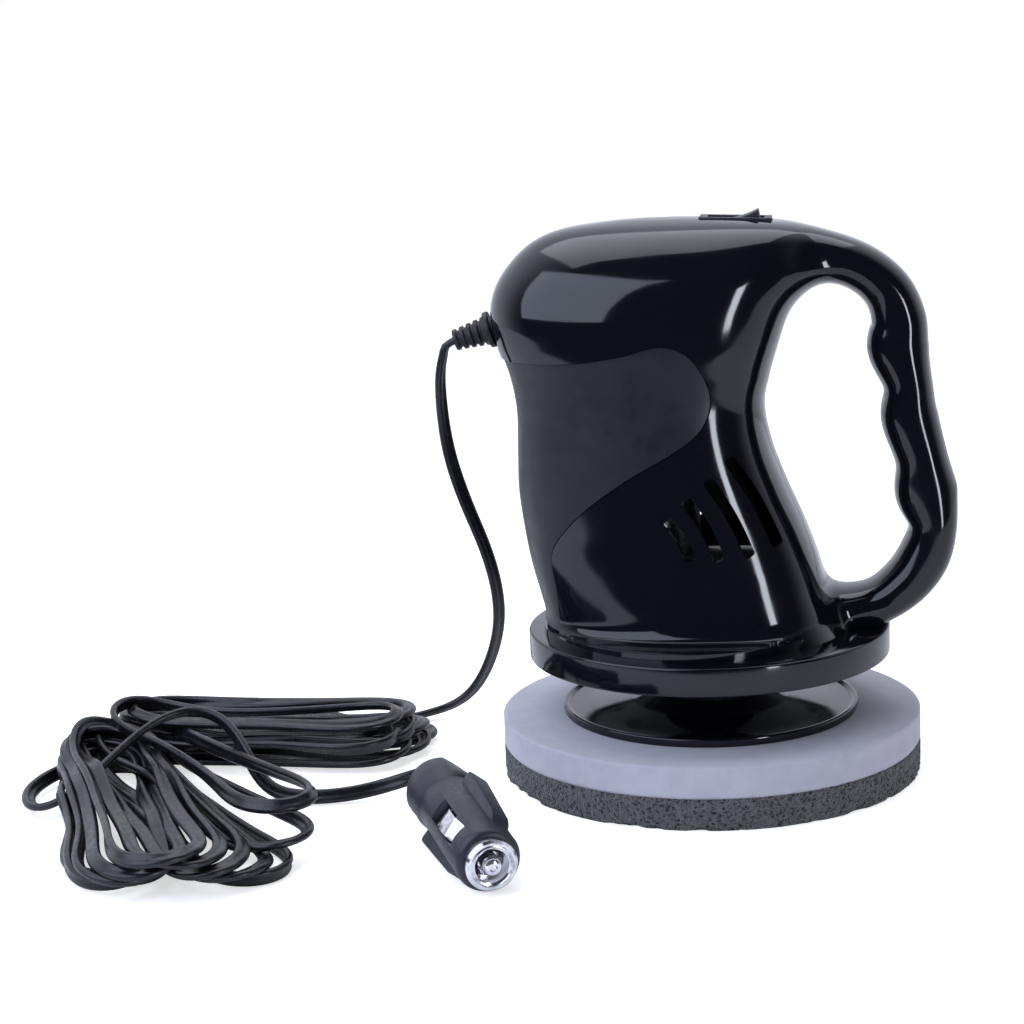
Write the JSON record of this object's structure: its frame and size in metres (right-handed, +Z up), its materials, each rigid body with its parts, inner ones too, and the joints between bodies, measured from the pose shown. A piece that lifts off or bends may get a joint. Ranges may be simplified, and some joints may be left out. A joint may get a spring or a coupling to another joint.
{
  "type": "rotary polisher",
  "caption": "Hand-held 12 V car polisher: kettle-shaped housing with a loop handle and rocker switch, geared foam pad, flat cord in a hank and a vehicle power plug.",
  "frame": {"origin": "centre of the pad face, on the spindle axis, where the polisher stands on the floor", "axes": "+Z up the spindle, +X from the spindle to the loop handle, +Y across the parting line away from the side with no screws"},
  "size_m": [0.3336, 0.225, 0.1999],
  "materials": {
    "housing": "high gloss moulded, clean reflections",
    "cover": "fine satin texture, dark blue-grey",
    "screws": "black oxide",
    "base": "fine texture",
    "switch": "satin",
    "brass": "machined",
    "rubber": "matt",
    "wire_red": "pvc insulation",
    "cord": "pvc, slight sheen",
    "zinc": "zinc plated",
    "magnet": "ferrite and carbon, matt",
    "iron": "lacquered laminations",
    "copper": "enamelled copper",
    "steel": "ground",
    "alloy": "die cast",
    "plate": "gloss moulded",
    "foam_fine": "fine closed-cell foam, lavender grey",
    "foam_coarse": "coarse open-cell foam, charcoal",
    "plug": "satin",
    "chrome": "bright nickel plate",
    "glass": "clear fuse tube"
  },
  "bodies": {
    "housing": {"housing_left": "housing", "housing_right": "housing", "front_cover": "cover", "housing_screws": "screws", "base_cover": "base", "base_screws": "screws", "switch_body": "switch", "switch_terminals": "brass", "strain_relief": "rubber", "wire_red": "wire_red", "wire_black": "cord", "motor_can": "zinc", "motor_end_cap": "switch", "motor_magnets": "magnet", "motor_brushes": "magnet", "motor_screws": "screws", "gear_case": "alloy", "gear_case_cover": "alloy", "gear_case_screws": "screws", "bearing_lower_outer": "steel", "bearing_upper_outer": "steel", "cord_lead": "cord", "cord_hank": "cord", "cord_fan": "cord", "cord_tail": "cord", "plug_shell": "plug", "plug_head": "plug", "plug_nose_ring": "chrome", "plug_spring": "steel", "plug_fuse": "glass"},
    "spindle": {"spindle": "steel", "spindle_gear": "steel", "spindle_key": "steel", "spacer_sleeve": "steel", "circlip": "screws", "bearing_lower_inner": "steel", "bearing_upper_inner": "steel", "backing_plate": "plate", "plate_screw": "screws", "foam_fine": "foam_fine", "foam_coarse": "foam_coarse"},
    "rotor": {"rotor_core": "iron", "windings": "copper", "commutator": "copper", "motor_shaft": "steel", "pinion": "brass"},
    "lower_balls": {"bearing_lower_balls": "steel"},
    "upper_balls": {"bearing_upper_balls": "steel"},
    "rocker": {"rocker": "switch"},
    "plug_tip": {"plug_tip": "chrome"},
    "contact_upper": {"plug_contact_upper": "chrome"},
    "contact_lower": {"plug_contact_lower": "chrome"}
  },
  "joints": [
    {"name": "spindle_spin", "type": "hinge", "parent": "housing", "child": "spindle", "pos_m": [0, 0, 0.05], "axis": [0, 0, 1], "continuous": true},
    {"name": "motor_spin", "type": "hinge", "parent": "housing", "child": "rotor", "pos_m": [-0.02, 0, 0.1], "axis": [0, 0, 1], "continuous": true},
    {"name": "lower_balls_orbit", "type": "hinge", "parent": "housing", "child": "lower_balls", "pos_m": [0, 0, 0.0525], "axis": [0, 0, 1], "continuous": true},
    {"name": "upper_balls_orbit", "type": "hinge", "parent": "housing", "child": "upper_balls", "pos_m": [0, 0, 0.0755], "axis": [0, 0, 1], "continuous": true},
    {"name": "rocker_tilt", "type": "hinge", "parent": "housing", "child": "rocker", "pos_m": [0.01272, 0, 0.1947], "axis": [0, 1, 0], "range_deg": [0, 26]},
    {"name": "plug_tip_press", "type": "slide", "parent": "housing", "child": "plug_tip", "axis": [0.39, -0.9187, -0.0628], "range_m": [-0.003, 0], "stiffness_N_per_m": 1500},
    {"name": "contact_upper_press", "type": "slide", "parent": "housing", "child": "contact_upper", "axis": [-0.7103, -0.3435, 0.6145], "range_m": [-0.0012, 0], "stiffness_N_per_m": 2500},
    {"name": "contact_lower_press", "type": "slide", "parent": "housing", "child": "contact_lower", "axis": [0.7103, 0.3435, -0.6145], "range_m": [-0.0012, 0], "stiffness_N_per_m": 2500}
  ],
  "couplings": [
    {"joint": "motor_spin", "follows": "spindle_spin", "ratio": -2.3333},
    {"joint": "lower_balls_orbit", "follows": "spindle_spin", "ratio": 0.368},
    {"joint": "upper_balls_orbit", "follows": "spindle_spin", "ratio": 0.368}
  ]
}
